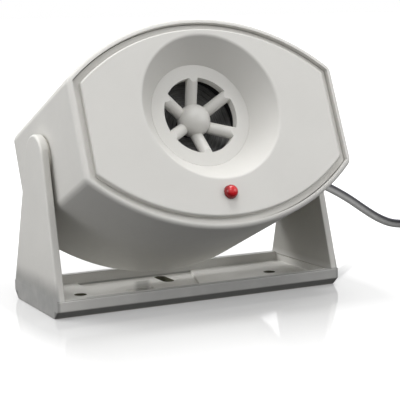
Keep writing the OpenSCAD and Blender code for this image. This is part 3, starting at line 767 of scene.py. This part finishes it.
def cord_sheath():
    """Dark PVC sheath, with a painted reflection that makes it pale underneath and a painted bluish sheen
    on top, and a faint lay from the cores inside.
    """
    n = Nodes("cord_sheath")
    around = n.add("ShaderNodeAttribute", attribute_name="around").outputs["Fac"]
    # Painted sheen along the top and painted reflection of the table underneath
    underside = n.span(around, -0.4, 0.5, 1, 0, smooth=True)
    tone = n.mix(n.span(around, 0.75, 0.98, smooth=True), (0.018, 0.018, 0.022), (0.16, 0.16, 0.21))
    tone = n.mix(underside, tone, (0.78, 0.78, 0.77))
    tone = n.mix(n.span(n.noise(260, 3), 0.35, 0.65, 0, 0.15), tone, (0.05, 0.05, 0.055))
    rough = n.span(n.noise(700, 3), 0.3, 0.7, 0.34, 0.48)
    lay = n.bump(n.noise(330, 2), 0.05 * MM, 0.4)
    n.set(Base_Color=tone, Roughness=rough, Normal=n.bump(n.noise(3000, 2), 0.006 * MM, 1, under=lay))
    n.set(Specular_IOR_Level=0.3)
    return n.material


def add_cord():
    line = cord_line()
    radius = CORD_DIAMETER / 2 * MM
    cord = sweep("lead", line, radius, 20)
    cord.data.materials.append(cord_sheath())
    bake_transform(cord)
    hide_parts("cord", "cord_coil", "cord_tail")


# Floor and light --------------------------------------------------------

def add_floor():
    """A pale, slightly glossy table top. It glows more away from the bracket, where mirror images fade."""
    reach = 40
    mesh = bpy.data.meshes.new("floor")
    mesh.from_pydata(
        [(-reach, -reach, 0), (reach, -reach, 0), (reach, reach, 0), (-reach, reach, 0)], [], [(0, 1, 2, 3)]
    )
    floor = bpy.data.objects.new("floor", mesh)
    bpy.context.scene.collection.objects.link(floor)
    n = Nodes("table_top")
    x, y = n.axes()[:2]
    beside = n.math("MAXIMUM", n.math("SUBTRACT", n.size(x), BRACKET_LENGTH / 2 * MM), 0)
    before = n.math("MAXIMUM", n.math("SUBTRACT", n.size(y), BRACKET_DEPTH / 2 * MM), 0)
    away = n.far(n.both(beside, GLOW_BESIDE), before)
    glow = n.span(away, GLOW_REACH[0] * MM, GLOW_REACH[1] * MM, *GLOW_LEVELS)
    n.set(Base_Color=(0.5, 0.5, 0.5), Roughness=0.06, Specular_IOR_Level=0.5)
    n.set(Emission_Color=(1.0, 1.0, 1.0), Emission_Strength=glow)
    mesh.materials.append(n.material)
    floor.visible_diffuse = False
    floor.visible_glossy = False


def add_light(name, place, size, power):
    """A square soft box that looks at the object."""
    data = bpy.data.lights.new(name, "AREA")
    data.shape = "SQUARE"
    data.size = size
    data.energy = power
    lamp = bpy.data.objects.new(name, data)
    direction = VIEW_AIM - Vector(place)
    lamp.matrix_world = direction.to_track_quat("-Z", "Y").to_matrix().to_4x4()
    lamp.matrix_world.translation = Vector(place)
    bpy.context.scene.collection.objects.link(lamp)


def add_world():
    """A white studio to look at and to mirror; it lights matt surfaces less, and least from below."""
    world = bpy.data.worlds.new("studio")
    world.use_nodes = True
    tree = world.node_tree
    tree.nodes.clear()

    def add(kind, **values):
        node = tree.nodes.new(kind)
        for socket, value in values.items():
            node.inputs[socket.replace("_", " ")].default_value = value
        return node

    place = add("ShaderNodeTexCoord")
    apart = add("ShaderNodeSeparateXYZ")
    tree.links.new(place.outputs["Generated"], apart.inputs["Vector"])

    def by_height(below, above):
        ramp = add(
            "ShaderNodeMapRange", From_Min=HORIZON[0], From_Max=HORIZON[1], To_Min=below, To_Max=above
        )
        tree.links.new(apart.outputs["Z"], ramp.inputs["Value"])
        return ramp.outputs["Result"]

    path = add("ShaderNodeLightPath")
    level = add("ShaderNodeMix")
    tree.links.new(path.outputs["Is Diffuse Ray"], level.inputs["Factor"])
    tree.links.new(by_height(*SEEN_LEVELS), level.inputs["A"])
    tree.links.new(by_height(*MATT_LEVELS), level.inputs["B"])
    back = add("ShaderNodeBackground")
    out = add("ShaderNodeOutputWorld")
    tree.links.new(level.outputs["Result"], back.inputs["Color"])
    tree.links.new(back.outputs["Background"], out.inputs["Surface"])
    bpy.context.scene.world = world


add_camera()
add_cord()
add_floor()
add_world()
for lamp in LAMPS:
    add_light(*lamp)

shell = moulded("shell_plastic", SHELL, corner_shade=0.1, crevice_shade=0.35)
dark_plastic = moulded("dark_plastic", (0.035, 0.035, 0.037), roughness=0.55, mottle=0.2)
pale_plastic = moulded("pale_plastic", (0.62, 0.61, 0.57), roughness=0.35)
steel = metal("zinc_steel", (0.56, 0.56, 0.57), 0.34)
tin = metal("tinned_copper", (0.74, 0.74, 0.72), 0.3)
brass = metal("brass", (0.62, 0.46, 0.20), 0.3)
wire = rubbery("wire_insulation", (0.36, 0.02, 0.015), 0.4)
black_pvc = rubbery("black_pvc", (0.018, 0.018, 0.02), 0.38, pore=2400, depth=0.008)
chip = rubbery("moulding_compound", (0.02, 0.02, 0.022), 0.55)

finishes = {
    "bracket": handled_bracket(moulded("bracket_plastic", SHELL, corner_shade=0.15)),
    "rear_housing": shell,
    "front_panel": shell,
    "grille": moulded("grille_plastic", (0.71, 0.70, 0.67), roughness=0.42),
    "friction_washers": pale_plastic,
    "cord_clamp": pale_plastic,
    "board_sockets": pale_plastic,
    "housing_seal": rubbery("foam_rubber", (0.02, 0.02, 0.02), 0.8, pore=900, depth=0.1),
    "status_light": red_lens(),
    "diaphragm": cone_paper(),
    "horn_driver_frame": dark_plastic,
    "driver_cap": dark_plastic,
    "piezo_disc": glued_brass(),
    "plug_core": brass,
    "plug_barrel": metal("nickel_plate", (0.70, 0.69, 0.66), 0.2, stretch=(1, 0.05, 1)),
    "light_leads": tin,
    "driver_terminals": tin,
    "driver_screws": steel,
    "board_screws": steel,
    "housing_screws": steel,
    "clamp_screws": steel,
    "light_wires": wire,
    "driver_wires": wire,
    "power_wires": wire,
    "circuit_board": printed_board(),
    "driver_chip": chip,
    "power_transistor": chip,
    "capacitors": rubbery("capacitor_sleeve", (0.02, 0.035, 0.12), 0.3, pore=600, depth=0.01),
    "transformer_core": rubbery("ferrite", (0.045, 0.043, 0.04), 0.6, pore=1200, depth=0.03),
    "transformer_winding": wound_copper(),
    "heat_sink": metal("extruded_aluminium", (0.72, 0.73, 0.74), 0.36, stretch=(0.1, 1, 1)),
    "resistors": moulded("resistor_lacquer", (0.52, 0.36, 0.20), roughness=0.35, mottle=0.2),
    "strain_relief": black_pvc,
    "plug_relief": black_pvc,
    "plug_body": black_pvc,
}
pieces = {
    "rear_housing": moulding("rear_housing", "head", shape_housing),
    "front_panel": moulding("front_panel", "head", shape_panel),
    "bracket": moulding("bracket", "bracket", shape_bracket),
}
for node, material in finishes.items():
    paint(node, material)
    if node in pieces:
        pieces[node].data.materials.clear()
        pieces[node].data.materials.append(material)

bpy.context.scene.view_settings.view_transform = "Standard"
